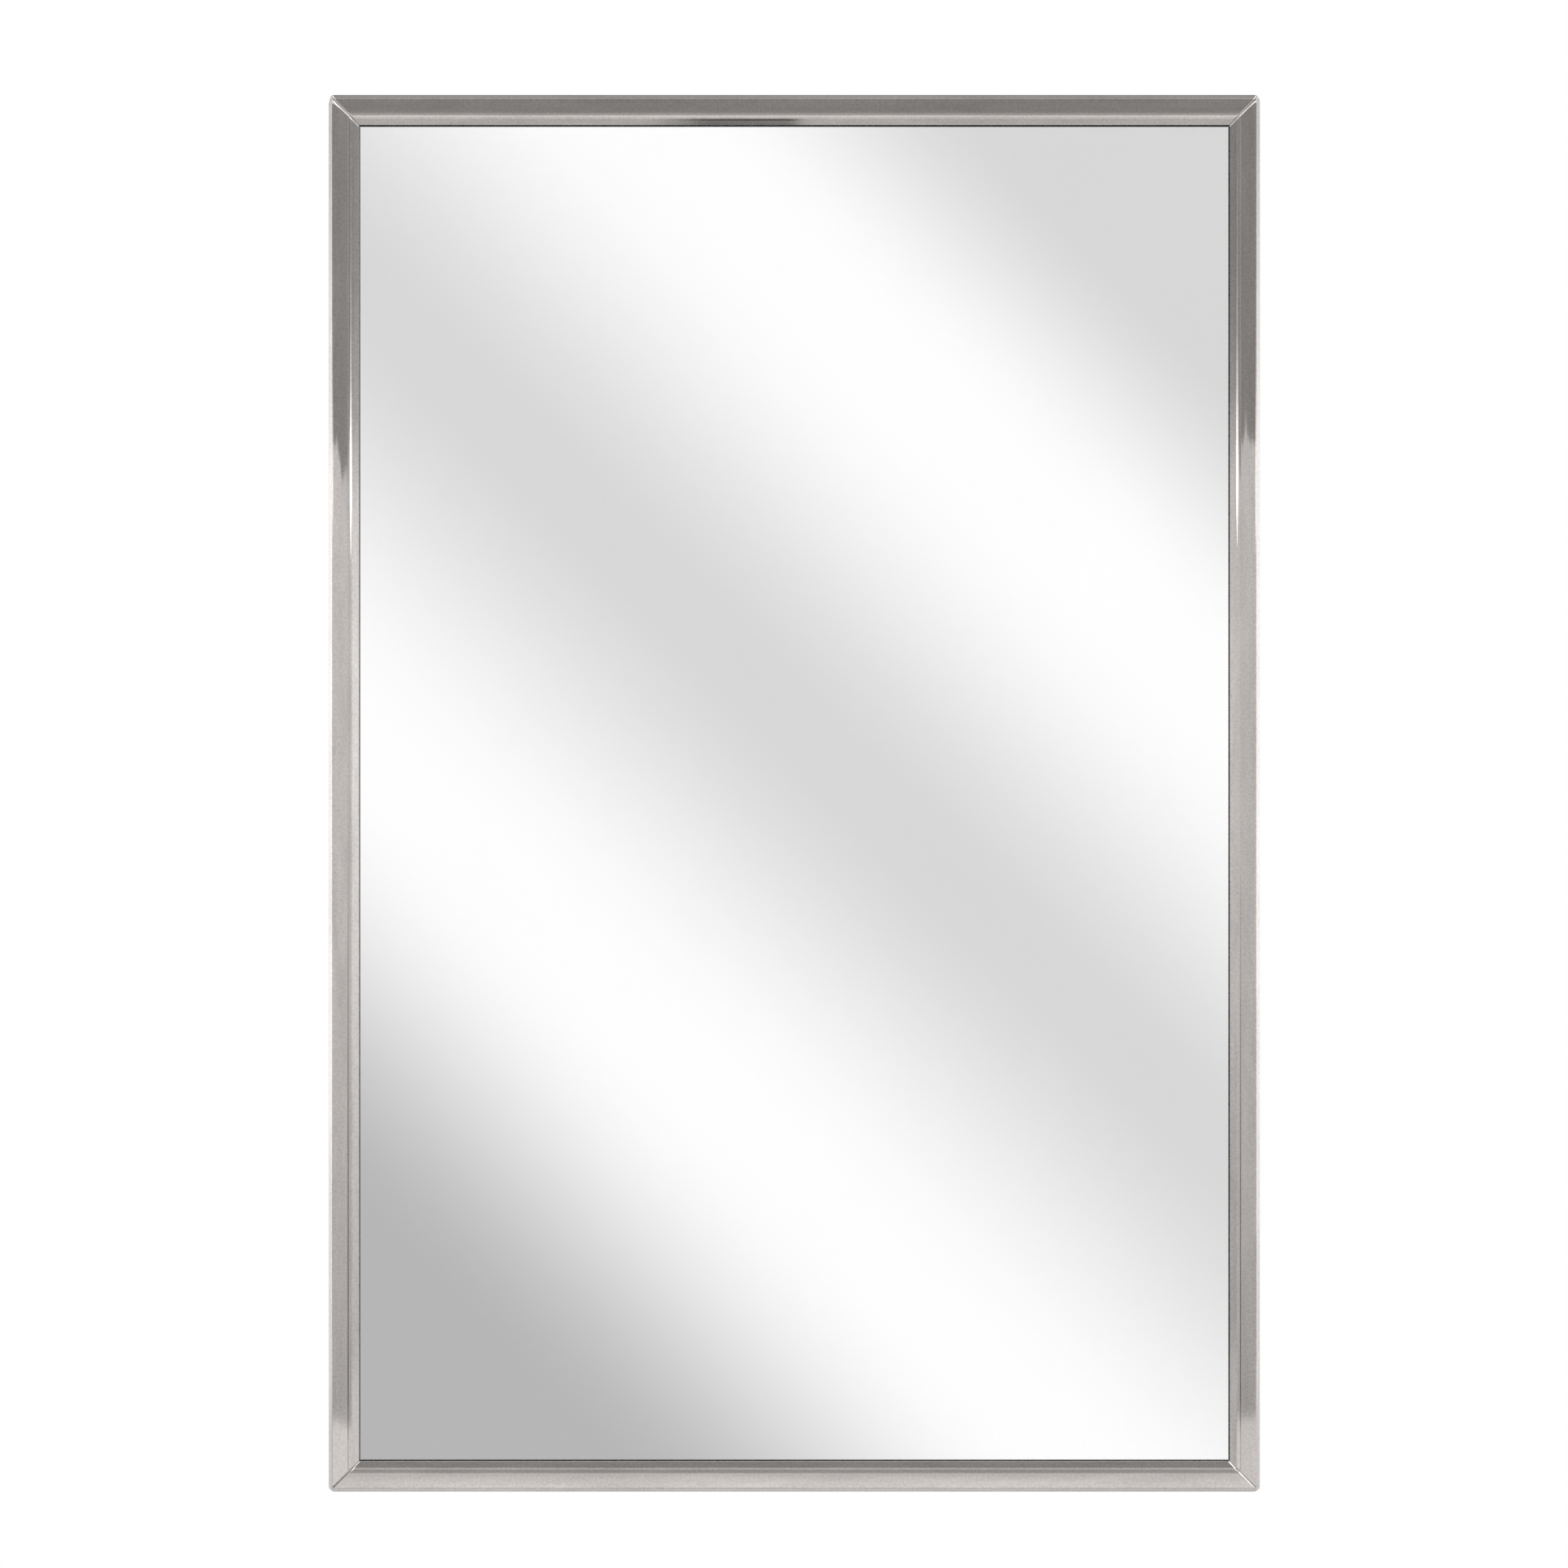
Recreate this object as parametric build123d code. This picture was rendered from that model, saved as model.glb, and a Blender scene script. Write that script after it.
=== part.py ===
from build123d import *
import os
from math import asin, atan2, cos, degrees, floor, sqrt

# Medicine cabinet: a shallow white steel box whose whole front is a framed mirror door.
# Millimetres. X is right, Y points into the wall and Z is up.
# The origin is the middle of the back panel's rear face, which lies on the wall.

# Door, seen from the front
DOOR_WIDTH = 406.4
DOOR_HEIGHT = 609.6
DOOR_CORNER_RADIUS = 2.6

# Roll-formed channel of the door frame
RAIL_SHEET = 0.8
RAIL_FACE = 13.3
RAIL_BEVEL_WIDTH = 4.1
RAIL_BEVEL_DROP = 2.2
RAIL_FACE_FALL = 0.5
RAIL_FLANGE = 12.7
RAIL_EDGE_RADIUS = 2.4
RAIL_RIDGE_RADIUS = 3.4
RAIL_REAR_RADIUS = 1.2
MITRE_GAP = 0.1

# What the channel holds, from front to back
MIRROR_THICKNESS = 4.0
MIRROR_EDGE_ROOM = 2.2
MIRROR_ARRIS = 0.5
BOARD_THICKNESS = 3.8
DOOR_PANEL_SHEET = 0.8
DOOR_PANEL_ROOM = 0.5
DOOR_PANEL_LAP = 0.8
SEAT_CLEARANCE = 0.1

# Corner keys staked into the channel
KEY_LEG = 34.0
KEY_WIDTH = 7.6
KEY_SIDE_ROOM = 0.2

# Piano hinge down the left edge
PIN_DIAMETER = 2.0
PIN_CLEARANCE = 0.05
PIN_EDGE_ROOM = 0.35
LEAF_SHEET = 0.8
LEAF_WIDTH = 10.5
LEAF_SET_OFF = 0.1
LEAF_NOTCH_ROOM = 0.3
KNUCKLE_LENGTH = 25.4
KNUCKLE_END_GAP = 0.25
HINGE_END_ROOM = 30.0

# Folded steel box
BODY_DEPTH = 101.6
BODY_INSET = 6.2
BODY_SHEET = 0.8
BODY_BEND_RADIUS = 1.6
RIM_WIDTH = 14.0
RIM_RETURN = 8.0
REAR_FLANGE = 12.0

# Back panel with pressed beads and wall screw holes
BACK_SHEET = 0.8
BACK_EDGE_ROOM = 1.6
BEAD_WIDTH = 14.0
BEAD_HEIGHT = 2.0
BEAD_LENGTH = 420.0
BEAD_SPACING = 152.4
BEAD_TAPER = 40.0
WALL_HOLE_RADIUS = 3.2
WALL_HOLE_SPACING_X = 304.8
WALL_HOLE_SPACING_Z = 406.4

# Slotted shelf standards on the side walls
STANDARD_SHEET = 0.9
STANDARD_WIDTH = 12.7
STANDARD_DEPTH = 3.2
STANDARD_BEND_RADIUS = 1.2
STANDARD_END_ROOM = 30.0
STANDARD_INSET = 16.0
SLOT_PITCH = 25.4
SLOT_WIDTH = 6.6
SLOT_HEIGHT = 2.4
SLOT_END_ROOM = 10.0

# Shelf clips with their cushions
CLIP_SHEET = 1.0
CLIP_SIDE_ROOM = 0.3
CLIP_HOOK = 6.0
CLIP_HOOK_ROOM = 0.2
CLIP_TONGUE = 10.0
CUSHION_THICKNESS = 0.8
CUSHION_SETBACK = 1.0

# Glass shelves: the slot row that each one stands on, counted from mid-height
SHELF_ROWS = {"lower": -6, "middle": 0, "upper": 6}
SHELF_THICKNESS = 5.0
SHELF_END_ROOM = 1.0
SHELF_BACK_ROOM = 6.0
SHELF_FRONT_ROOM = 2.6
SHELF_CORNER_CUT = 3.0
SHELF_ARRIS = 0.8

# Magnetic catch on the right rim, and its strike on the door
CATCH_BEZEL_WIDTH = 11.0
CATCH_BEZEL_HEIGHT = 36.0
CATCH_BEZEL_THICKNESS = 1.6
CATCH_BEZEL_CORNER = 1.5
CATCH_BOSS_DEPTH = 10.0
CATCH_WALL = 1.3
CATCH_SLOT_ROOM = 0.1
CATCH_BARB = 1.0
CATCH_BARB_LENGTH = 4.0
CATCH_AIR_GAP = 0.1
MAGNET_THICKNESS = 3.0
MAGNET_LENGTH = 24.0
MAGNET_SETBACK = 0.5
POLE_SHEET = 1.2
STRIKE_SHEET = 0.8
STRIKE_WIDTH = 12.0
STRIKE_HEIGHT = 34.0
STRIKE_CORNER = 1.5

# Rubber door bumpers
BUMPER_RADIUS = 5.0
BUMPER_BEVEL = 1.0
BUMPER_INSET = 45.0
BUMPER_AIR_GAP = 0.1

# How far a cutting shape runs past what it cuts
CUT_MARGIN = 2.0

# Depths inside the door, measured back from the ridge of the frame
bevel_angle = atan2(RAIL_BEVEL_DROP, RAIL_BEVEL_WIDTH)
lip_back = RAIL_BEVEL_DROP + RAIL_SHEET * cos(bevel_angle)
mirror_front = lip_back + SEAT_CLEARANCE
mirror_back = mirror_front + MIRROR_THICKNESS
board_back = mirror_back + BOARD_THICKNESS
panel_back = board_back + DOOR_PANEL_SHEET
flange_front = panel_back + SEAT_CLEARANCE
rail_depth = flange_front + RAIL_SHEET

# Hinge sizes that follow from its pin and sheet
bore_radius = PIN_DIAMETER / 2 + PIN_CLEARANCE
knuckle_radius = bore_radius + LEAF_SHEET
leaf_face = knuckle_radius + LEAF_SET_OFF
leaf_inner_face = leaf_face - LEAF_SHEET
pin_inset = knuckle_radius + PIN_EDGE_ROOM

# Planes across the cabinet, from the wall forward
rim_front = -BODY_DEPTH
pin_y = rim_front - leaf_face
door_rear = pin_y - leaf_face
door_front = door_rear - rail_depth
pin_x = -DOOR_WIDTH / 2 + pin_inset

# Box sizes
body_width = DOOR_WIDTH - 2 * BODY_INSET
body_height = DOOR_HEIGHT - 2 * BODY_INSET
inner_half_width = body_width / 2 - BODY_SHEET
rim_middle = body_width / 2 - RIM_WIDTH / 2

# Hinge knuckles: an odd number, so that a body knuckle ends each side
knuckles_that_fit = floor((body_height - 2 * HINGE_END_ROOM) / KNUCKLE_LENGTH)
knuckle_count = knuckles_that_fit - 1 + knuckles_that_fit % 2
hinge_length = knuckle_count * KNUCKLE_LENGTH
body_knuckles = range(0, knuckle_count, 2)
door_knuckles = range(1, knuckle_count, 2)

# Corner keys fill the channel between its rear bend and the board
key_edge = max(RAIL_SHEET, RAIL_REAR_RADIUS) + KEY_SIDE_ROOM
key_front = mirror_back + SEAT_CLEARANCE
board_edge = key_edge + KEY_WIDTH + KEY_SIDE_ROOM

# Shelving
shelf_front = rim_front + RIM_RETURN + SHELF_FRONT_ROOM
shelf_back = -BACK_SHEET - SHELF_BACK_ROOM
standard_face = inner_half_width - STANDARD_DEPTH
standard_length = body_height - 2 * STANDARD_END_ROOM
standard_places = {"front": shelf_front + STANDARD_INSET, "rear": shelf_back - STANDARD_INSET}
slot_rows = floor((standard_length / 2 - SLOT_END_ROOM) / SLOT_PITCH)
shelf_half_length = standard_face - SHELF_END_ROOM
clip_width = SLOT_WIDTH - 2 * CLIP_SIDE_ROOM

# Catch
strike_face = door_rear + STRIKE_SHEET
pole_front = strike_face + CATCH_AIR_GAP
core_width = MAGNET_THICKNESS + 2 * POLE_SHEET
core_back = rim_front + CATCH_BOSS_DEPTH - CATCH_WALL
boss_width = core_width + 2 * CATCH_WALL
boss_height = MAGNET_LENGTH + 2 * CATCH_WALL
bumper_height = body_height / 2 - BUMPER_INSET

# Quarter turns that bring a left-hand side of a frame to its place
SIDE_TURNS = {"left": 0, "top": 90, "right": 180, "bottom": 270}


def sheet_section(points, radii, sheet, side):
    """A bent sheet's section: its outer skin runs through the points, its thickness lies on one side."""
    skin = FilletPolyline(*points, radius=radii)
    return make_face(skin.offset_2d(sheet, side=side).edges())


def upright_box(x_range, y_range, z_range):
    """A box between two limits along each axis."""
    limits = (x_range, y_range, z_range)
    middle = [(low + high) / 2 for low, high in limits]
    return Pos(*middle) * Box(*(high - low for low, high in limits))


def rounded_plate(width, height, radius, y_range):
    """A plate that faces the room, with rounded corners, centred on the Y axis."""
    outline = Plane.XZ * RectangleRounded(width, height, radius)
    return Pos(0, y_range[1], 0) * extrude(outline, amount=y_range[1] - y_range[0])


def clipped_plate(width, height, corner, y_range):
    """A plate that faces the room, with its corners cut off, centred on the Y axis."""
    outline = Plane.XZ * chamfer(Rectangle(width, height).vertices(), corner)
    return Pos(0, y_range[1], 0) * extrude(outline, amount=y_range[1] - y_range[0])


def hole_along_y(radius, x, z, y_range):
    """A round cutter along Y at one place."""
    length = y_range[1] - y_range[0]
    cutter = Rot(90, 0, 0) * Cylinder(radius, length)
    return Pos(x, sum(y_range) / 2, z) * cutter


def mitred_side(section, width, half_span, half_length):
    """A side of a mitred frame: a section on the left, run up the frame and cut at 45 degrees."""
    bar = extrude(Pos(-half_span, 0, 0) * section, amount=half_length, both=True)
    pull_back = MITRE_GAP / sqrt(2)
    outer = -CUT_MARGIN
    inner = width + CUT_MARGIN
    corners = [(outer, half_length - outer - pull_back), (inner, half_length - inner - pull_back)]
    outline = corners + [(u, -z) for u, z in reversed(corners)]
    mitre = make_face(Polyline(*[(u - half_span, z) for u, z in outline], close=True))
    depth = section.bounding_box().max.Y - section.bounding_box().min.Y
    middle = section.bounding_box().center().Y
    block = extrude(Plane.XZ * mitre, amount=depth / 2 + CUT_MARGIN, both=True)
    return bar & (Pos(0, middle, 0) * block)


def frame_side(place, section, width, frame_width, frame_height):
    """A mitred side turned to its place in a frame."""
    turn = SIDE_TURNS[place]
    spans = (frame_width / 2, frame_height / 2)
    half_span, half_length = spans if turn % 180 == 0 else reversed(spans)
    return Rot(0, turn, 0) * mitred_side(section, width, half_span, half_length)


def knuckle_middle(index):
    """Height of a hinge knuckle's middle."""
    return (index + 0.5) * KNUCKLE_LENGTH - hinge_length / 2


def door_rails():
    """Four mitred lengths of one roll-formed channel."""
    skin = [
        (RAIL_FACE, RAIL_BEVEL_DROP),
        (RAIL_FACE - RAIL_BEVEL_WIDTH, 0),
        (0, RAIL_FACE_FALL),
        (0, rail_depth),
        (RAIL_FLANGE, rail_depth),
    ]
    radii = [RAIL_RIDGE_RADIUS, RAIL_EDGE_RADIUS, RAIL_REAR_RADIUS]
    section = Pos(0, door_front, 0) * sheet_section(skin, radii, RAIL_SHEET, Side.RIGHT)
    width = max(RAIL_FACE, RAIL_FLANGE)
    outline = rounded_plate(DOOR_WIDTH, DOOR_HEIGHT, DOOR_CORNER_RADIUS, (door_front, door_rear))
    return {
        "door_rail_" + place: frame_side(place, section, width, DOOR_WIDTH, DOOR_HEIGHT) & outline
        for place in SIDE_TURNS
    }


def corner_keys():
    """Flat steel angles that join the rails inside the channel."""
    outer_x = DOOR_WIDTH / 2 - key_edge
    outer_z = DOOR_HEIGHT / 2 - key_edge
    inner_x = outer_x - KEY_WIDTH
    inner_z = outer_z - KEY_WIDTH
    outline = [
        (outer_x, outer_z),
        (outer_x, outer_z - KEY_LEG),
        (inner_x, outer_z - KEY_LEG),
        (inner_x, inner_z),
        (outer_x - KEY_LEG, inner_z),
        (outer_x - KEY_LEG, outer_z),
    ]
    face = Plane.XZ * make_face(Polyline(*outline, close=True))
    key = Pos(0, door_front + flange_front, 0) * extrude(face, amount=flange_front - key_front)
    top_pair = [key, mirror(key, about=Plane.YZ)]
    return Compound(top_pair + [mirror(piece, about=Plane.XY) for piece in top_pair])


def mirror_pane():
    """Silvered float glass with a ground arris all round."""
    inset = RAIL_SHEET + MIRROR_EDGE_ROOM
    half_width = DOOR_WIDTH / 2 - inset
    half_height = DOOR_HEIGHT / 2 - inset
    depths = (door_front + mirror_front, door_front + mirror_back)
    pane = upright_box((-half_width, half_width), depths, (-half_height, half_height))
    faces = pane.faces().filter_by(Axis.Y)
    return chamfer(faces.edges(), MIRROR_ARRIS)


def backing_board():
    """Corrugated board that presses the glass against the lip of the frame."""
    half_width = DOOR_WIDTH / 2 - board_edge
    half_height = DOOR_HEIGHT / 2 - board_edge
    depths = (door_front + mirror_back, door_front + board_back)
    return upright_box((-half_width, half_width), depths, (-half_height, half_height))


def door_back_panel():
    """Steel sheet whose edge lies under the channel's flange and whose field is pressed out to it."""
    lap = RAIL_FLANGE + DOOR_PANEL_ROOM
    window = lap + DOOR_PANEL_LAP

    def sheet(edge, front):
        half_width = DOOR_WIDTH / 2 - edge
        half_height = DOOR_HEIGHT / 2 - edge
        depths = (door_front + front, door_front + front + DOOR_PANEL_SHEET)
        return upright_box((-half_width, half_width), depths, (-half_height, half_height))

    border = sheet(board_edge, board_back) - sheet(window, board_back)
    field = sheet(lap, panel_back)
    return border + field


def hinge_leaf(own_knuckles, facing):
    """One leaf with its rolled knuckles, facing 1 toward the wall or -1 toward the door."""
    meet = asin(leaf_inner_face / knuckle_radius)
    meet_x = knuckle_radius * cos(meet)
    bend_x = knuckle_radius + LEAF_NOTCH_ROOM
    curl = [
        Line((LEAF_WIDTH, leaf_face), (bend_x, leaf_face)),
        Line((bend_x, leaf_face), (0, knuckle_radius)),
        CenterArc((0, 0), knuckle_radius, 90, 270 + degrees(meet)),
        Line((meet_x, leaf_inner_face), (LEAF_WIDTH, leaf_inner_face)),
        Line((LEAF_WIDTH, leaf_inner_face), (LEAF_WIDTH, leaf_face)),
    ]
    section = make_face(curl) - Circle(bore_radius)
    length = KNUCKLE_LENGTH - KNUCKLE_END_GAP
    knuckle = extrude(section, amount=length / 2, both=True)
    half = hinge_length / 2 - KNUCKLE_END_GAP / 2
    leaf = upright_box((bend_x, LEAF_WIDTH), (leaf_inner_face, leaf_face), (-half, half))
    leaf += [Pos(0, 0, knuckle_middle(i)) * knuckle for i in own_knuckles]
    if facing < 0:
        leaf = mirror(leaf, about=Plane.XZ)
    return Pos(pin_x, pin_y, 0) * leaf


def hinge_pin():
    """Plain wire pin through all the knuckles."""
    return Pos(pin_x, pin_y, 0) * Cylinder(PIN_DIAMETER / 2, hinge_length)


def body_walls():
    """Four folded walls: a web with a boxed rim in front and a flange behind, mitred and welded."""
    seat = -BACK_SHEET
    skin = [
        (RIM_WIDTH, rim_front + RIM_RETURN),
        (RIM_WIDTH, rim_front),
        (0, rim_front),
        (0, seat),
        (REAR_FLANGE, seat),
    ]
    section = sheet_section(skin, [BODY_BEND_RADIUS] * 3, BODY_SHEET, Side.RIGHT)
    width = max(RIM_WIDTH, REAR_FLANGE)
    rim = (rim_front - CUT_MARGIN, rim_front + BODY_SHEET + SEAT_CLEARANCE)
    half_slot_width = boss_width / 2 + CATCH_SLOT_ROOM
    half_slot_height = boss_height / 2 + CATCH_SLOT_ROOM
    slot_x = (rim_middle - half_slot_width, rim_middle + half_slot_width)
    catch_slot = upright_box(slot_x, rim, (-half_slot_height, half_slot_height))
    walls = {
        "body_" + place: frame_side(place, section, width, body_width, body_height) for place in SIDE_TURNS
    }
    walls["body_right"] -= catch_slot
    return walls


def body_back():
    """Flat back sheet with two pressed beads and four wall screw holes."""
    half_width = body_width / 2 - BACK_EDGE_ROOM
    half_height = body_height / 2 - BACK_EDGE_ROOM
    sheet = upright_box((-half_width, half_width), (-BACK_SHEET, 0), (-half_height, half_height))
    outline = Plane.XZ * Rectangle(BEAD_WIDTH, BEAD_LENGTH)
    ridge = extrude(outline, amount=BEAD_HEIGHT, taper=BEAD_TAPER)
    for x in (-BEAD_SPACING / 2, BEAD_SPACING / 2):
        sheet = sheet + Pos(x, -BACK_SHEET, 0) * ridge - Pos(x, 0, 0) * ridge
    holes = [
        hole_along_y(WALL_HOLE_RADIUS, x, z, (-BACK_SHEET - CUT_MARGIN, CUT_MARGIN))
        for x in (-WALL_HOLE_SPACING_X / 2, WALL_HOLE_SPACING_X / 2)
        for z in (-WALL_HOLE_SPACING_Z / 2, WALL_HOLE_SPACING_Z / 2)
    ]
    return sheet - holes


def shelf_standards():
    """Slotted channels welded to the side walls, two on each side."""
    half = STANDARD_WIDTH / 2
    skin = [(0, -half), (STANDARD_DEPTH, -half), (STANDARD_DEPTH, half), (0, half)]
    section = sheet_section(skin, [STANDARD_BEND_RADIUS] * 2, STANDARD_SHEET, Side.LEFT)
    channel = extrude(section, amount=standard_length / 2, both=True)
    web = (STANDARD_DEPTH - STANDARD_SHEET - SEAT_CLEARANCE, STANDARD_DEPTH + CUT_MARGIN)
    half_slot = (-SLOT_WIDTH / 2, SLOT_WIDTH / 2)
    slots = [
        upright_box(web, half_slot, (row * SLOT_PITCH - SLOT_HEIGHT / 2, row * SLOT_PITCH + SLOT_HEIGHT / 2))
        for row in range(-slot_rows, slot_rows + 1)
    ]
    channel = channel - slots
    standards = {}
    for side, turn in (("left", 0), ("right", 180)):
        for depth, y in standard_places.items():
            placed = Pos(-inner_half_width, 0, 0) * channel
            standards[f"shelf_standard_{side}_{depth}"] = Pos(0, y, 0) * Rot(0, 0, turn) * placed
    return standards


def shelf_sets():
    """For each shelf its four hooked clips, their rubber cushions and the glass itself."""
    web_back = STANDARD_DEPTH - STANDARD_SHEET
    hook_x = web_back - CLIP_HOOK_ROOM
    tip_x = STANDARD_DEPTH + CLIP_TONGUE
    outline = [
        (hook_x - CLIP_SHEET, 0),
        (tip_x, 0),
        (tip_x, CLIP_SHEET),
        (hook_x, CLIP_SHEET),
        (hook_x, CLIP_HOOK),
        (hook_x - CLIP_SHEET, CLIP_HOOK),
    ]
    section = Plane.XZ * make_face(Polyline(*outline, close=True))
    clip = extrude(section, amount=clip_width / 2, both=True)
    cushion_x = (STANDARD_DEPTH + CUSHION_SETBACK, tip_x)
    cushion_z = (CLIP_SHEET, CLIP_SHEET + CUSHION_THICKNESS)
    cushion = upright_box(cushion_x, (-clip_width / 2, clip_width / 2), cushion_z)
    plan = Rectangle(2 * shelf_half_length, shelf_back - shelf_front)
    glass = extrude(chamfer(plan.vertices(), SHELF_CORNER_CUT), amount=SHELF_THICKNESS)
    glass = chamfer(glass.faces().filter_by(Axis.Z).edges(), SHELF_ARRIS)
    pieces = {}
    for name, row in SHELF_ROWS.items():
        slot_floor = row * SLOT_PITCH - SLOT_HEIGHT / 2
        places = [
            Pos(0, y, slot_floor) * Rot(0, 0, turn) * Pos(-inner_half_width, 0, 0)
            for turn in (0, 180)
            for y in standard_places.values()
        ]
        pieces["shelf_clips_" + name] = Compound([place * clip for place in places])
        pieces["shelf_cushions_" + name] = Compound([place * cushion for place in places])
        glass_floor = slot_floor + CLIP_SHEET + CUSHION_THICKNESS
        pieces["shelf_" + name] = Pos(0, (shelf_front + shelf_back) / 2, glass_floor) * glass
    return pieces


def magnetic_catch():
    """Snap-in holder on the right rim with a magnet between two pole plates, and the door's strike."""
    bezel_back = rim_front
    bezel_front = bezel_back - CATCH_BEZEL_THICKNESS
    bezel = clipped_plate(
        CATCH_BEZEL_WIDTH, CATCH_BEZEL_HEIGHT, CATCH_BEZEL_CORNER, (bezel_front, bezel_back)
    )
    half_boss = boss_width / 2
    half_core = core_width / 2
    boss_top = boss_height / 2
    boss_back = rim_front + CATCH_BOSS_DEPTH
    boss = upright_box((-half_boss, half_boss), (bezel_back, boss_back), (-boss_top, boss_top))
    barb_front = rim_front + BODY_SHEET + SEAT_CLEARANCE
    barb = make_face(
        Polyline(
            (barb_front, boss_top),
            (barb_front, boss_top + CATCH_BARB),
            (barb_front + CATCH_BARB_LENGTH, boss_top),
            close=True,
        )
    )
    barb = extrude(Plane.YZ * barb, amount=half_boss / 2, both=True)
    half_length = MAGNET_LENGTH / 2
    pocket = upright_box((-half_core, half_core), (pole_front, core_back), (-half_length, half_length))
    holder = bezel + boss + barb + mirror(barb, about=Plane.XY) - pocket
    half_magnet = MAGNET_THICKNESS / 2
    magnet_y = (pole_front + MAGNET_SETBACK, core_back)
    magnet = upright_box((-half_magnet, half_magnet), magnet_y, (-half_length, half_length))
    poles = [
        upright_box(x, (pole_front, core_back), (-half_length, half_length))
        for x in ((-half_core, -half_magnet), (half_magnet, half_core))
    ]
    strike = clipped_plate(STRIKE_WIDTH, STRIKE_HEIGHT, STRIKE_CORNER, (door_rear, strike_face))
    place = Pos(rim_middle, 0, 0)
    return {
        "catch_holder": place * holder,
        "catch_magnet": place * magnet,
        "catch_pole_plates": Compound([place * pole for pole in poles]),
        "strike_plate": place * strike,
    }


def door_bumpers():
    """Rubber buttons stuck to the rim, just clear of the closed door."""
    height = rim_front - door_rear - BUMPER_AIR_GAP
    button = Rot(90, 0, 0) * Cylinder(BUMPER_RADIUS, height)
    front_edge = button.edges().sort_by(Axis.Y)[0]
    button = Pos(rim_middle, rim_front - height / 2, 0) * chamfer(front_edge, BUMPER_BEVEL)
    return Compound([Pos(0, 0, side * bumper_height) * button for side in (-1, 1)])


nodes = {
    **door_rails(),
    "corner_keys": corner_keys(),
    "mirror_pane": mirror_pane(),
    "backing_board": backing_board(),
    "door_back_panel": door_back_panel(),
    "hinge_door_leaf": hinge_leaf(door_knuckles, -1),
    "hinge_body_leaf": hinge_leaf(body_knuckles, 1),
    "hinge_pin": hinge_pin(),
    **body_walls(),
    "body_back": body_back(),
    **shelf_standards(),
    **shelf_sets(),
    **magnetic_catch(),
    "door_bumpers": door_bumpers(),
}

os.makedirs("parts", exist_ok=True)
for name, shape in nodes.items():
    export_step(shape, f"parts/{name}.step")
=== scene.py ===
import math

import bmesh
import bpy
from mathutils import Matrix, Vector


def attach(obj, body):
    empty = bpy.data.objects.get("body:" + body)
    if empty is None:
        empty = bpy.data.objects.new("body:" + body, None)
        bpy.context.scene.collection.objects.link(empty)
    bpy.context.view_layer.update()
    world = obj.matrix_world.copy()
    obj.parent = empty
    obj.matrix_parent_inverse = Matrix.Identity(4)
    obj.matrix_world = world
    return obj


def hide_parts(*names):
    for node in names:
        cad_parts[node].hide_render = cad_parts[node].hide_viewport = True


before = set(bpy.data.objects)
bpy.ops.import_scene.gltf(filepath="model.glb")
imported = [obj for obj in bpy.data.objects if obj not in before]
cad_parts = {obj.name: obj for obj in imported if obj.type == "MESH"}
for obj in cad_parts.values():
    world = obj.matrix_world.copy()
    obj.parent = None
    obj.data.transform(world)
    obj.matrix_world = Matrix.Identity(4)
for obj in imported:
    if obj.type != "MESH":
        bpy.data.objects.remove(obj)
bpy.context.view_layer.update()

# The four walls of the box are steel sheet, each folded to a boxed rim in front and a flange behind,
# mitred and welded at the corners. Two coats of white enamel are baked on, which leaves a soft gloss
# with a faint orange peel and a slightly warmer tone where the coat is thin.
mm = 0.001


def start_finish(name):
    """A node material, its node tree and its shader."""
    finish = bpy.data.materials.new(name)
    finish.use_nodes = True
    tree = finish.node_tree
    return finish, tree, tree.nodes["Principled BSDF"]


def join(tree, value, socket):
    """Feeds a socket from another socket, or sets it to a plain value."""
    if isinstance(value, bpy.types.NodeSocket):
        tree.links.new(value, socket)
    else:
        socket.default_value = value


def speckle(tree, per_metre, stretch=(1, 1, 1), detail=3.0, roughness=0.5, bend=0.0):
    """Cloudy noise on the piece itself, with a number of spots to the metre, drawn out along an axis."""
    place = tree.nodes.new("ShaderNodeTexCoord")
    draw = tree.nodes.new("ShaderNodeMapping")
    draw.inputs["Scale"].default_value = stretch
    noise = tree.nodes.new("ShaderNodeTexNoise")
    noise.inputs["Scale"].default_value = per_metre
    noise.inputs["Detail"].default_value = detail
    noise.inputs["Roughness"].default_value = roughness
    noise.inputs["Distortion"].default_value = bend
    tree.links.new(place.outputs["Object"], draw.inputs["Vector"])
    tree.links.new(draw.outputs["Vector"], noise.inputs["Vector"])
    return noise.outputs["Fac"]


def shades(tree, amount, stops):
    """Colours along a ramp, as (place, (red, green, blue))."""
    ramp = tree.nodes.new("ShaderNodeValToRGB")
    row = ramp.color_ramp.elements
    while len(row) < len(stops):
        row.new(1.0)
    for mark, (place, colour) in zip(row, stops):
        mark.position = place
        mark.color = (*colour, 1.0)
    tree.links.new(amount, ramp.inputs["Fac"])
    return ramp.outputs["Color"]


def between(tree, amount, low, high, start=0.3, end=0.7):
    """A number that runs from low to high as the noise goes from start to end."""
    span = tree.nodes.new("ShaderNodeMapRange")
    span.inputs["From Min"].default_value = start
    span.inputs["From Max"].default_value = end
    span.inputs["To Min"].default_value = low
    span.inputs["To Max"].default_value = high
    tree.links.new(amount, span.inputs["Value"])
    return span.outputs["Result"]


def relief(tree, height, depth, under=None):
    """Raises the surface by a height times a depth in metres, on top of any relief below it."""
    bump = tree.nodes.new("ShaderNodeBump")
    bump.inputs["Strength"].default_value = 1.0
    bump.inputs["Distance"].default_value = depth
    tree.links.new(height, bump.inputs["Height"])
    if under is not None:
        tree.links.new(under, bump.inputs["Normal"])
    return bump.outputs["Normal"]


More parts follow.
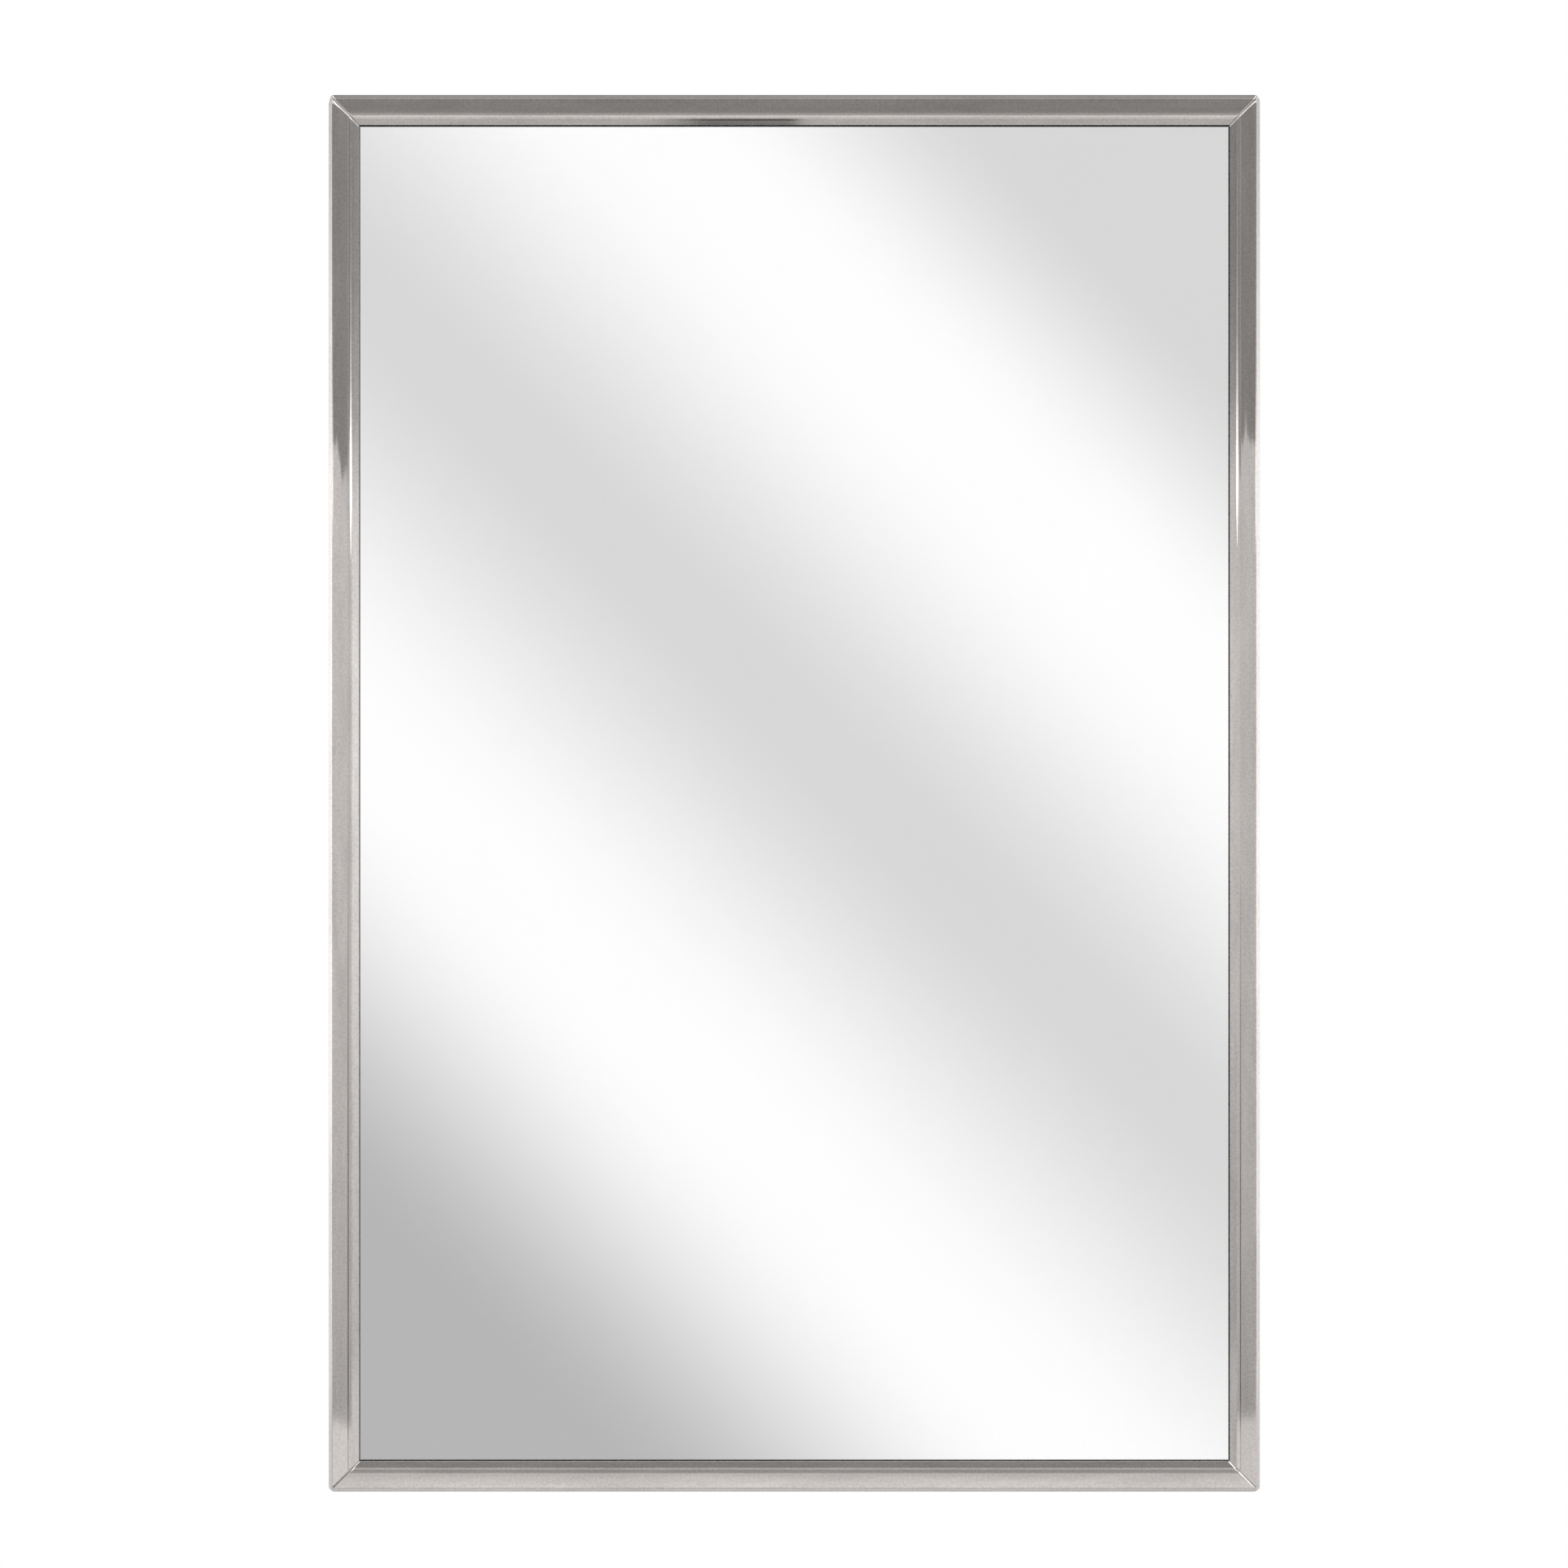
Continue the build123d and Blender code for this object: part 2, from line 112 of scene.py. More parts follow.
def dress(finish, *names):
    """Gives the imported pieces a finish."""
    for name in names:
        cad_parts[name].material_slots[0].material = finish


def soften(width, *names):
    """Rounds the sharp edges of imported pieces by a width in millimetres."""
    for name in names:
        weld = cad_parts[name].modifiers.new("weld", "WELD")
        weld.merge_threshold = 0.002 * mm
        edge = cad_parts[name].modifiers.new("edge", "BEVEL")
        edge.width = width * mm
        edge.segments = 3
        edge.limit_method = "ANGLE"
        edge.angle_limit = math.radians(40)
        edge.harden_normals = True


def baked_enamel(name, warm, clean):
    """White enamel: thin patches are warmer, the gloss wanders, and the coat has a fine orange peel."""
    finish, tree, shader = start_finish(name)
    cloud = speckle(tree, 6, detail=1)
    join(tree, shades(tree, cloud, [(0.3, warm), (0.7, clean)]), shader.inputs["Base Color"])
    join(tree, between(tree, cloud, 0.21, 0.26), shader.inputs["Roughness"])
    join(tree, relief(tree, speckle(tree, 420, detail=1), 0.0012 * mm), shader.inputs["Normal"])
    return finish


wall_enamel = baked_enamel("wall_enamel", (0.785, 0.782, 0.765), (0.80, 0.80, 0.788))
dress(wall_enamel, "body_left", "body_right", "body_top", "body_bottom")

# The back is one steel sheet spot-welded to the walls' rear flanges, with two long stiffening beads
# pressed into it and four holes punched for the wall screws. It is enamelled with the walls.
dress(wall_enamel, "body_back")

# The shelf standards are roll-formed channels of zinc-plated strip, punched with a slot every inch
# and welded to the side walls. Rolling leaves fine lines along them.


def rolled_zinc(name, dark, pale, along):
    """Zinc on rolled strip: lines along the strip, and a faint crystal bloom."""
    finish, tree, shader = start_finish(name)
    stretch = tuple(0.03 if axis == along else 1.0 for axis in "xyz")
    lines = speckle(tree, 1600, stretch, detail=2)
    bloom = shades(tree, speckle(tree, 70, detail=5), [(0.32, dark), (0.68, pale)])
    join(tree, bloom, shader.inputs["Base Color"])
    join(tree, between(tree, lines, 0.26, 0.42), shader.inputs["Roughness"])
    join(tree, relief(tree, lines, 0.01 * mm), shader.inputs["Normal"])
    shader.inputs["Metallic"].default_value = 1.0
    return finish


standard_zinc = rolled_zinc("standard_zinc", (0.50, 0.51, 0.52), (0.70, 0.71, 0.72), "z")
for side in ("left", "right"):
    for depth in ("front", "rear"):
        dress(standard_zinc, f"shelf_standard_{side}_{depth}")

# Each shelf rests on four steel clips that hook into the standards' slots. A clip is a strip of the
# same zinc-plated steel, folded up behind the slot.
clip_zinc = rolled_zinc("clip_zinc", (0.50, 0.51, 0.52), (0.70, 0.71, 0.72), "x")
for shelf in ("lower", "middle", "upper"):
    dress(clip_zinc, "shelf_clips_" + shelf)

# A pad of soft dark rubber is stuck on each clip, so that the glass neither slides nor rattles. The
# pads are cut from moulded sheet, which keeps a fine pebble and a dusty bloom.


def matt_rubber(name, dark, pale):
    """Moulded rubber: a fine pebble, a dusty bloom and no shine."""
    finish, tree, shader = start_finish(name)
    bloom = shades(tree, speckle(tree, 260, detail=4), [(0.3, dark), (0.75, pale)])
    join(tree, bloom, shader.inputs["Base Color"])
    join(tree, between(tree, speckle(tree, 120), 0.55, 0.8), shader.inputs["Roughness"])
    join(tree, relief(tree, speckle(tree, 1800, detail=2), 0.02 * mm), shader.inputs["Normal"])
    return finish


cushion_rubber = matt_rubber("cushion_rubber", (0.035, 0.035, 0.037), (0.06, 0.06, 0.062))
for shelf in ("lower", "middle", "upper"):
    dress(cushion_rubber, "shelf_cushions_" + shelf)
    soften(0.25, "shelf_cushions_" + shelf)

# The shelves are float glass with ground and polished edges. The iron in the glass turns long ways
# through it green, so the edges look green and the faces clear.


def float_glass(name, green):
    """Clear glass that goes green with depth."""
    finish, tree, shader = start_finish(name)
    shader.inputs["Base Color"].default_value = (1.0, 1.0, 1.0, 1.0)
    shader.inputs["Roughness"].default_value = 0.0
    shader.inputs["IOR"].default_value = 1.52
    shader.inputs["Transmission Weight"].default_value = 1.0
    depth = tree.nodes.new("ShaderNodeVolumeAbsorption")
    depth.inputs["Color"].default_value = (0.62, 0.95, 0.83, 1.0)
    depth.inputs["Density"].default_value = green
    tree.links.new(depth.outputs["Volume"], tree.nodes["Material Output"].inputs["Volume"])
    return finish


shelf_glass = float_glass("shelf_glass", 7.0)
tree = shelf_glass.node_tree
wave = relief(tree, speckle(tree, 11, detail=1), 0.02 * mm)
join(tree, wave, tree.nodes["Principled BSDF"].inputs["Normal"])
dress(shelf_glass, "shelf_lower", "shelf_middle", "shelf_upper")

# The catch's holder snaps into a slot in the right rim, where its barbs hold it. It is moulded in
# white plastic, with the mould's fine texture on it.
catch_plastic, tree, shader = start_finish("catch_plastic")
moulded = [(0.3, (0.70, 0.70, 0.68)), (0.7, (0.75, 0.75, 0.73))]
join(tree, shades(tree, speckle(tree, 60), moulded), shader.inputs["Base Color"])
join(tree, between(tree, speckle(tree, 300), 0.38, 0.5), shader.inputs["Roughness"])
join(tree, relief(tree, speckle(tree, 2500, detail=1), 0.008 * mm), shader.inputs["Normal"])
dress(catch_plastic, "catch_holder")
soften(0.5, "catch_holder")

# The magnet is a block of pressed and fired ferrite, pushed into the holder. It is nearly black and
# slightly gritty.
magnet_ferrite, tree, shader = start_finish("magnet_ferrite")
grit = speckle(tree, 1500, detail=4)
fired = [(0.35, (0.018, 0.018, 0.02)), (0.7, (0.05, 0.05, 0.053))]
join(tree, shades(tree, grit, fired), shader.inputs["Base Color"])
join(tree, between(tree, grit, 0.5, 0.75), shader.inputs["Roughness"])
join(tree, relief(tree, grit, 0.02 * mm), shader.inputs["Normal"])
dress(magnet_ferrite, "catch_magnet")
soften(0.2, "catch_magnet")

# Two steel plates lie against the magnet and carry its pull to the door. They are sheared from strip
# and zinc-plated.
plated_zinc = rolled_zinc("plated_zinc", (0.52, 0.54, 0.57), (0.70, 0.72, 0.75), "z")
dress(plated_zinc, "catch_pole_plates")
soften(0.15, "catch_pole_plates")

# Two soft buttons on the right rim stop the door from ringing against the steel. They are moulded
# in pale rubber and stuck on.
bumper_rubber = matt_rubber("bumper_rubber", (0.46, 0.45, 0.42), (0.58, 0.57, 0.53))
dress(bumper_rubber, "door_bumpers")

# A piano hinge runs down the left edge: two steel leaves with rolled knuckles on one wire pin.
# The body leaf and the pin stay with the box, and the door leaf goes with the door.
hinge_steel = rolled_zinc("hinge_steel", (0.50, 0.495, 0.485), (0.66, 0.655, 0.645), "z")
dress(hinge_steel, "hinge_body_leaf", "hinge_pin", "hinge_door_leaf")

# Each knuckle's leaf is held by one domed steel rivet, set in the middle of the knuckle: the body
# leaf's rivets go into the box's left rim and the door leaf's into the frame's rear flange.


def make_piece(name, points, faces, finish, smooth=35):
    """A closed mesh in millimetres, in its place on the cabinet."""
    mesh = bpy.data.meshes.new(name)
    mesh.from_pydata([Vector(point) * mm for point in points], [], faces)
    work = bmesh.new()
    work.from_mesh(mesh)
    bmesh.ops.recalc_face_normals(work, faces=work.faces)
    work.to_mesh(mesh)
    work.free()
    mesh.polygons.foreach_set("use_smooth", [True] * len(mesh.polygons))
    mesh.set_sharp_from_angle(angle=math.radians(smooth))
    mesh.materials.append(finish)
    piece = bpy.data.objects.new(name, mesh)
    bpy.context.scene.collection.objects.link(piece)
    return piece


def turned(profile, sides):
    """A piece turned on its axis, as points (across, rise, across) and faces; it ends on the axis."""
    points = []
    for radius, rise in profile[:-1]:
        for side in range(sides):
            angle = 2 * math.pi * side / sides
            points.append((radius * math.cos(angle), rise, radius * math.sin(angle)))
    points.append((0.0, profile[-1][1], 0.0))
    faces = [tuple(range(sides))]
    for ring in range(len(profile) - 2):
        for side in range(sides):
            following = (side + 1) % sides
            here = ring * sides
            faces.append((here + side, here + following, here + sides + following, here + sides + side))
    top = (len(profile) - 2) * sides
    for side in range(sides):
        faces.append((top + side, top + (side + 1) % sides, len(points) - 1))
    return points, faces


def set_out(shape, places, facing):
    """The same shape at several places, facing to the front (-1) or the back (1)."""
    points = []
    faces = []
    for x, y, z in places:
        first = len(points)
        points += [(x + across, y + facing * rise, z + up) for across, rise, up in shape[0]]
        faces += [tuple(first + spot for spot in face) for face in shape[1]]
    return points, faces


knuckle_length = 25.4
knuckle_count = 21
body_leaf_middle = -193.35
body_leaf_front = -102.4
door_leaf_middle = -196.05
door_leaf_rear = -104.7
rivet_head = [(2.1, -0.1), (2.1, 0.12), (1.98, 0.3), (1.65, 0.48), (1.15, 0.61), (0.6, 0.68), (0.0, 0.7)]
middles = [(knuckle + 0.5 - knuckle_count / 2) * knuckle_length for knuckle in range(knuckle_count)]
rivet = turned(rivet_head, 24)
body_places = [(body_leaf_middle, body_leaf_front, middle) for middle in middles[0::2]]
door_places = [(door_leaf_middle, door_leaf_rear, middle) for middle in middles[1::2]]
rivet_steel = rolled_zinc("rivet_steel", (0.46, 0.455, 0.45), (0.66, 0.655, 0.65), "y")
for name, places, facing, body in (
    ("hinge_body_rivets", body_places, -1, "cabinet"),
    ("hinge_door_rivets", door_places, 1, "door"),
):
    rivets = make_piece(name, *set_out(rivet, places, facing), rivet_steel)
    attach(rivets, body)

# Flat steel angles lie in the channel at each corner and hold the four rails square. They are blanked
# from sheet, tumbled and zinc-plated.
dress(plated_zinc, "corner_keys")
soften(0.2, "corner_keys")

# The door frame is four lengths of one bright stainless channel, roll-formed from thin strip and
# mitred at the corners. Its face falls to a rounded outer edge, rises to a ridge near the glass and
# drops over a narrow bevel to the lip. Rolling and buffing leave it with long soft waves.
door_width = 406.4
door_height = 609.6
rail_front = -118.0049
rail_depth = 12.5049
rail_sheet = 0.8
rail_corner = 2.6
mitre_gap = 0.05
mitre_round = 0.8
mitre_fall = 1.6
mitre_fade = 5.0
filed_width = 6.0
filed_fall = 0.7
filing = {"left": 2.0, "right": 0.8, "top": 0.0, "bottom": 0.3}
lip_cut = 0.13
rail_skin = [
    (13.3 - lip_cut, 2.06),
    (11.5, 1.06),
    (9.7, 0.0),
    (5.3, 0.13),
    (1.7, 0.4),
    (0.0, 2.0),
    (0.0, rail_depth),
    (12.7, rail_depth),
]
rail_bends = [9.0, 4.6, 110.0, 1.1, 1.7, 1.2]


def bent_line(corners, bends, steps):
    """A line through the corners with each inner corner rounded, as points and outward normals."""
    line = [Vector(corners[0])]
    for before, corner, after, bend in zip(corners, corners[1:], corners[2:], bends):
        corner = Vector(corner)
        back = (Vector(before) - corner).normalized()
        ahead = (Vector(after) - corner).normalized()
        half = back.angle(ahead) / 2
        reach = bend / math.tan(half)
        centre = corner + (back + ahead).normalized() * (bend / math.sin(half))
        first = corner + back * reach - centre
        last = corner + ahead * reach - centre
        turn = first.angle_signed(last)
        for step in range(steps + 1):
            swing = -turn * step / steps
            line.append(centre + Matrix.Rotation(swing, 2) @ first)
    line.append(Vector(corners[-1]))
    return line


def sheet_loop(line, sheet):
    """The closed section of a bent sheet whose outer skin is the line."""
    inner = []
    for index, point in enumerate(line):
        before = line[max(index - 1, 0)]
        after = line[min(index + 1, len(line) - 1)]
        along = (after - before).normalized()
        inner.append(point + Vector((along.y, -along.x)) * sheet)
    inner[0].x = line[0].x + lip_cut
    return line + inner[::-1]


def corner_inset(from_end):
    """How far the rounded plan corner cuts in, at a distance from the frame's end."""
    left = rail_corner - min(from_end, rail_corner)
    return rail_corner - math.sqrt(rail_corner ** 2 - left ** 2)


def rail_mesh(half_length, filed):
    """One mitred length of the channel, as points (across, depth, along), faces and which lie inside.

    Both ends are rounded by the saw, and the upper or right end can be filed flatter after that.
    """
    section = sheet_loop(bent_line(rail_skin, rail_bends, 12), rail_sheet)
    count = len(section)
    sawn_end = [(0.0, 0.34), (0.09, 0.20), (0.24, 0.10), (0.48, 0.035), (mitre_round, 0.0)]
    filed_end = [(0.0, 0.26), (0.15, 0.20), (0.35, 0.135), (0.6, 0.06), (mitre_round, 0.0)]
    run = [(gap, 0.0) for gap in (1.1, 1.5, 2.1, 2.8, 4.0, 8.0, 20.0, 45.0, 90.0, 150.0)]
    stations = [(1, *stop) for stop in (filed_end if filed else sawn_end) + run]
    stations += [(-1, *stop) for stop in reversed(sawn_end + run)]
    points = []
    for end, gap, rounding in stations:
        for across, depth in section:
            squeeze = max(0.0, 1 - across / rail_corner)
            worn = (filed if end > 0 else 0.0) * max(0.0, 1 - across / filed_width)
            spread = min(gap, mitre_round) * max(0.0, 1 - max(0.0, gap - mitre_round) / mitre_fade)
            tip = across + corner_inset(0) * squeeze * (1 - 1 / math.sqrt(2))
            along = half_length - tip - mitre_gap - gap - worn * spread
            inset = corner_inset(tip + mitre_gap + gap)
            fall = 0.0
            if depth < rail_depth / 2:
                fall = rounding * (mitre_fall + filed_fall * worn - across / rail_skin[0][0])
            points.append((across + inset * squeeze, depth + fall, end * along))
    faces = []
    for ring in range(len(stations) - 1):
        for spot in range(count):
            following = (spot + 1) % count
            here = ring * count
            beyond = here + count
            faces.append((here + spot, here + following, beyond + following, beyond + spot))
    half = count // 2
    for first in (0, (len(stations) - 1) * count):
        for spot in range(half - 1):
            mate = count - 1 - spot
            faces.append((first + spot, first + spot + 1, first + mate - 1, first + mate))
    inside = [count // 2 <= index % count for index in range(count * (len(stations) - 1))]
    return points, faces, inside


def buffed_stainless(name, along):
    """Bright rolled stainless: long soft waves, smoky buffing marks and a fine grain."""
    finish, tree, shader = start_finish(name)
    drawn = tuple(0.12 if axis == along else 1.0 for axis in "xyz")
    lines = tuple(0.02 if axis == along else 1.0 for axis in "xyz")
    smoke = speckle(tree, 170, drawn, detail=5, roughness=0.6, bend=0.5)
    grain = speckle(tree, 1000, detail=2)
    marks = tree.nodes.new("ShaderNodeMix")
    marks.data_type = "FLOAT"
    marks.inputs["Factor"].default_value = 0.5
    tree.links.new(smoke, marks.inputs["A"])
    tree.links.new(grain, marks.inputs["B"])
    stained = marks.outputs["Result"]
    colour = shades(tree, stained, [(0.33, (0.585, 0.551, 0.530)), (0.67, (0.79, 0.745, 0.717))])
    join(tree, colour, shader.inputs["Base Color"])
    join(tree, between(tree, stained, 0.012, 0.028), shader.inputs["Roughness"])
    waves = relief(tree, speckle(tree, 30, detail=1), 0.035 * mm)
    fine = relief(tree, speckle(tree, 2600, lines, detail=2), 0.0008 * mm, waves)
    join(tree, fine, shader.inputs["Normal"])
    shader.inputs["Metallic"].default_value = 1.0
    return finish


def mill_stainless(name, dark, pale):
    """The strip's unbuffed side, tinted dark as painted shade or pale as painted light."""
    finish, tree, shader = start_finish(name)
    scale = speckle(tree, 500, detail=4)
    join(tree, shades(tree, scale, [(0.3, dark), (0.7, pale)]), shader.inputs["Base Color"])
    join(tree, between(tree, scale, 0.5, 0.65), shader.inputs["Roughness"])
    join(tree, relief(tree, scale, 0.01 * mm), shader.inputs["Normal"])
    shader.inputs["Metallic"].default_value = 1.0
    return finish


# The channel's hidden inside lies along the lip's hairline beside the glass. It is painted: nearly black as
# painted shade on the top and right rails, and brighter than the buffed face as painted light on the left
# and bottom rails.
painted_shade_inside = mill_stainless("painted_shade_inside", (0.04, 0.039, 0.038), (0.07, 0.068, 0.066))
painted_light_inside = mill_stainless("painted_light_inside", (0.74, 0.73, 0.72), (0.84, 0.83, 0.82))
upright_stainless = buffed_stainless("upright_stainless", "z")
level_stainless = buffed_stainless("level_stainless", "x")
rail_places = {
    "left": lambda across, depth, along: (across - door_width / 2, rail_front + depth, along),
    "right": lambda across, depth, along: (door_width / 2 - across, rail_front + depth, along),
    "top": lambda across, depth, along: (along, rail_front + depth, door_height / 2 - across),
    "bottom": lambda across, depth, along: (along, rail_front + depth, across - door_height / 2),
}
for place, put in rail_places.items():
    upright = place in ("left", "right")
    points, faces, inside = rail_mesh((door_height if upright else door_width) / 2, filing[place])
    finish = upright_stainless if upright else level_stainless
    rail = make_piece("rail_" + place, [put(*point) for point in points], faces, finish)
    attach(rail, "door")
    # The top and right rails get the painted-shade inside, and the left and bottom rails the painted-light
    # inside.
    rail.data.materials.append(painted_shade_inside if place in ("top", "right") else painted_light_inside)
    for face, hidden in zip(rail.data.polygons, inside):
        face.material_index = 1 if hidden else 0
    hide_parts("door_rail_" + place)

# Two pan-headed screws at each corner go through the rear flange into the corner key and draw the
# mitre tight. They are zinc-plated steel with a cross recess.


def pan_head(radius, rise):
    """A screw head with a cross recess, as points and faces."""
    sides = 24
    rings = [(1.0, -0.07), (1.0, 0.3), (0.97, 0.55), (0.88, 0.8), (0.74, 0.94), (0.6, 1.0)]
    points = []
    for share, up in rings:
        for side in range(sides):
            angle = 2 * math.pi * side / sides
            points.append((radius * share * math.cos(angle), rise * up, radius * share * math.sin(angle)))
    faces = [tuple(range(sides))]
    for ring in range(len(rings) - 1):
        for side in range(sides):
            following = (side + 1) % sides
            here = ring * sides
            faces.append((here + side, here + following, here + sides + following, here + sides + side))
    rim = (len(rings) - 1) * sides
    reach = radius * 0.48
    half = radius * 0.1
    cross = len(points)
    for depth, taper in ((1.0, 1.0), (0.25, 0.8)):
        for arm in range(4):
            angle = arm * math.pi / 2
            for out, aside in ((reach * taper, -half), (reach * taper, half), (half, half)):
                across = out * math.cos(angle) - aside * math.sin(angle)
                up = out * math.sin(angle) + aside * math.cos(angle)
                points.append((across, rise * depth, up))
    for arm in range(4):
        at = [rim + (arm * 6 + step) % sides for step in range(-1, 6)]
        tip = cross + arm * 3
        after = cross + (arm * 3 + 3) % 12
        faces.append((at[0], at[1], at[2], tip + 1, tip))
        faces.append((at[2], at[3], at[4], tip + 2, tip + 1))
        faces.append((at[4], at[5], at[6], after, tip + 2))
    for edge in range(12):
        following = (edge + 1) % 12
        faces.append((cross + edge, cross + following, cross + 12 + following, cross + 12 + edge))
    faces.append(tuple(cross + 12 + edge for edge in range(12)))
    return points, faces


screw_zinc = rolled_zinc("screw_zinc", (0.44, 0.455, 0.48), (0.66, 0.68, 0.71), "y")
screw_radius = 2.6
screw_rise = 1.5
flange_rear = -105.5
flange_middle = 5.2
screw_from_corner = 22.0
screw_places = []
for side in (-1, 1):
    for level in (-1, 1):
        for in_x, in_z in ((flange_middle, screw_from_corner), (screw_from_corner, flange_middle)):
            place = (side * (door_width / 2 - in_x), flange_rear, level * (door_height / 2 - in_z))
            screw_places.append(place)
heads = set_out(pan_head(screw_radius, screw_rise), screw_places, 1)
screws = make_piece("corner_screws", *heads, screw_zinc)
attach(screws, "door")

# The mirror pane is float glass, held behind the frame's lip. Its edges are ground to a small flat,
# and it is thin enough to look clear from the front.
glass_half_width = 200.2
glass_half_height = 301.8
glass_front = -115.0
glass_back = -111.06
glass_arris = 0.5


def pane_mesh(half_width, half_height, front, back, arris):
    """A flat pane with a small flat on each edge, as points and faces."""
    rings = [
        (half_width - arris, half_height - arris, front),
        (half_width, half_height, front + arris),
        (half_width, half_height, back - arris),
        (half_width - arris, half_height - arris, back),
    ]
    points = []
    for wide, high, depth in rings:
        points += [(-wide, depth, -high), (wide, depth, -high), (wide, depth, high), (-wide, depth, high)]
    faces = [(0, 1, 2, 3), (12, 15, 14, 13)]
    for ring in (0, 4, 8):
        for spot in range(4):
            following = (spot + 1) % 4
            faces.append((ring + spot, ring + following, ring + 4 + following, ring + 4 + spot))
    return points, faces


mirror_glass = float_glass("mirror_glass", 2.5)
sheet = pane_mesh(glass_half_width, glass_half_height, glass_front, glass_back, glass_arris)
pane = make_piece("mirror_glass", *sheet, mirror_glass, smooth=20)
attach(pane, "door")
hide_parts("mirror_pane")

# A coat of silver lies on the pane's back, and paint keeps it from the damp. The eye sees the silver
# through the glass, a little behind the lip.
silver_front = -111.04
silver_back = -111.0
silver_edge = 0.01
bare_margin = 0.6
silver, tree, shader = start_finish("mirror_silver")
deposit = speckle(tree, 12, detail=2)
silver_colours = [(0.3, (0.966, 0.961, 0.961)), (0.7, (0.974, 0.969, 0.969))]
join(tree, shades(tree, deposit, silver_colours), shader.inputs["Base Color"])
shader.inputs["Metallic"].default_value = 1.0
shader.inputs["Roughness"].default_value = 0.0

silver_paint, tree, shader = start_finish("silver_paint")
drying = speckle(tree, 90, detail=4)
paint_colours = [(0.3, (0.15, 0.16, 0.165)), (0.7, (0.20, 0.21, 0.215))]
join(tree, shades(tree, drying, paint_colours), shader.inputs["Base Color"])
join(tree, between(tree, drying, 0.45, 0.6), shader.inputs["Roughness"])
join(tree, relief(tree, drying, 0.01 * mm), shader.inputs["Normal"])

coat_half_width = glass_half_width - bare_margin
coat_half_height = glass_half_height - bare_margin
film = pane_mesh(coat_half_width, coat_half_height, silver_front, silver_back, silver_edge)
coat = make_piece("mirror_silver", *film, silver, smooth=20)
coat.data.materials.append(silver_paint)
for face in coat.data.polygons[1:]:
    face.material_index = 1
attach(coat, "door")

# A sheet of corrugated board presses the glass against the lip and keeps the steel off its paint. It
# is brown kraft paper, and its flutes show through as faint upright ribs.
board, tree, shader = start_finish("kraft_board")
fibre = speckle(tree, 220, (1, 1, 0.25), detail=6)
kraft = [(0.3, (0.30, 0.20, 0.115)), (0.7, (0.42, 0.29, 0.17))]
join(tree, shades(tree, fibre, kraft), shader.inputs["Base Color"])
flutes = tree.nodes.new("ShaderNodeTexWave")
flutes.inputs["Scale"].default_value = 44.0
flutes.inputs["Distortion"].default_value = 0.3
spot = tree.nodes.new("ShaderNodeTexCoord")
tree.links.new(spot.outputs["Object"], flutes.inputs["Vector"])
join(tree, relief(tree, flutes.outputs["Fac"], 0.15 * mm), shader.inputs["Normal"])
join(tree, between(tree, fibre, 0.75, 0.95), shader.inputs["Roughness"])
dress(board, "backing_board")

# The back of the door is white enamelled sheet. Its edge lies under the channel's rear flange and its
# field is pressed out level with it.
dress(wall_enamel, "door_back_panel")

# The strike is a zinc-plated steel plate on the back of the door that the catch pulls on. Two small
# domed rivets hold it, one near each end.
dress(plated_zinc, "strike_plate")
soften(0.25, "strike_plate")
strike_middle = 190.0
strike_rear = -104.7
strike_rivet_reach = 14.6
small_head = [(1.5, -0.1), (1.5, 0.1), (1.35, 0.25), (1.0, 0.38), (0.55, 0.44), (0.0, 0.46)]
strike_places = [(strike_middle, strike_rear, end * strike_rivet_reach) for end in (-1, 1)]
strike_rivets = make_piece("strike_rivets", *set_out(turned(small_head, 20), strike_places, 1), rivet_steel)
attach(strike_rivets, "door")

# The studio's floor is pale, matt and plain. It keeps the cabinet's soft shadow, and goes over into the
# white of the background farther out.
floor_drop = 0.56
floor_half = 14
shadow_end = 0.75
white_start = 1.5
floor_lift = 0.31
floor_mesh = bpy.data.meshes.new("floor")
square = ((-1, -1), (1, -1), (1, 1), (-1, 1))
floor_points = [(x * floor_half, y * floor_half, -floor_drop) for x, y in square]
floor_mesh.from_pydata(floor_points, [], [(0, 1, 2, 3)])
floor = bpy.data.objects.new("floor", floor_mesh)
bpy.context.scene.collection.objects.link(floor)
pale, tree, shader = start_finish("pale_floor")
floor_colours = [(0.3, (0.78, 0.78, 0.775)), (0.7, (0.80, 0.80, 0.795))]
join(tree, shades(tree, speckle(tree, 3), floor_colours), shader.inputs["Base Color"])
shader.inputs["Roughness"].default_value = 0.8
shader.inputs["Specular IOR Level"].default_value = 0.0
path = tree.nodes.new("ShaderNodeLightPath")
spot = tree.nodes.new("ShaderNodeTexCoord")
reach = tree.nodes.new("ShaderNodeVectorMath")
reach.operation = "LENGTH"
tree.links.new(spot.outputs["Object"], reach.inputs[0])
fade = between(tree, reach.outputs["Value"], 0.0, 1.0, shadow_end, white_start)
seen = tree.nodes.new("ShaderNodeMath")
seen.operation = "MULTIPLY"
tree.links.new(fade, seen.inputs[0])
tree.links.new(path.outputs["Is Camera Ray"], seen.inputs[1])
lift = tree.nodes.new("ShaderNodeMath")
lift.operation = "MULTIPLY"
lift.inputs[1].default_value = floor_lift
tree.links.new(path.outputs["Is Camera Ray"], lift.inputs[0])
join(tree, lift.outputs["Value"], shader.inputs["Emission Strength"])
shader.inputs["Emission Color"].default_value = (1, 1, 1, 1)
white = tree.nodes.new("ShaderNodeEmission")
blend = tree.nodes.new("ShaderNodeMixShader")
tree.links.new(seen.outputs["Value"], blend.inputs["Fac"])
tree.links.new(shader.outputs["BSDF"], blend.inputs[1])
tree.links.new(white.outputs["Emission"], blend.inputs[2])
tree.links.new(blend.outputs["Shader"], tree.nodes["Material Output"].inputs["Surface"])
floor.data.materials.append(pale)
floor.visible_glossy = False
floor.visible_transmission = False

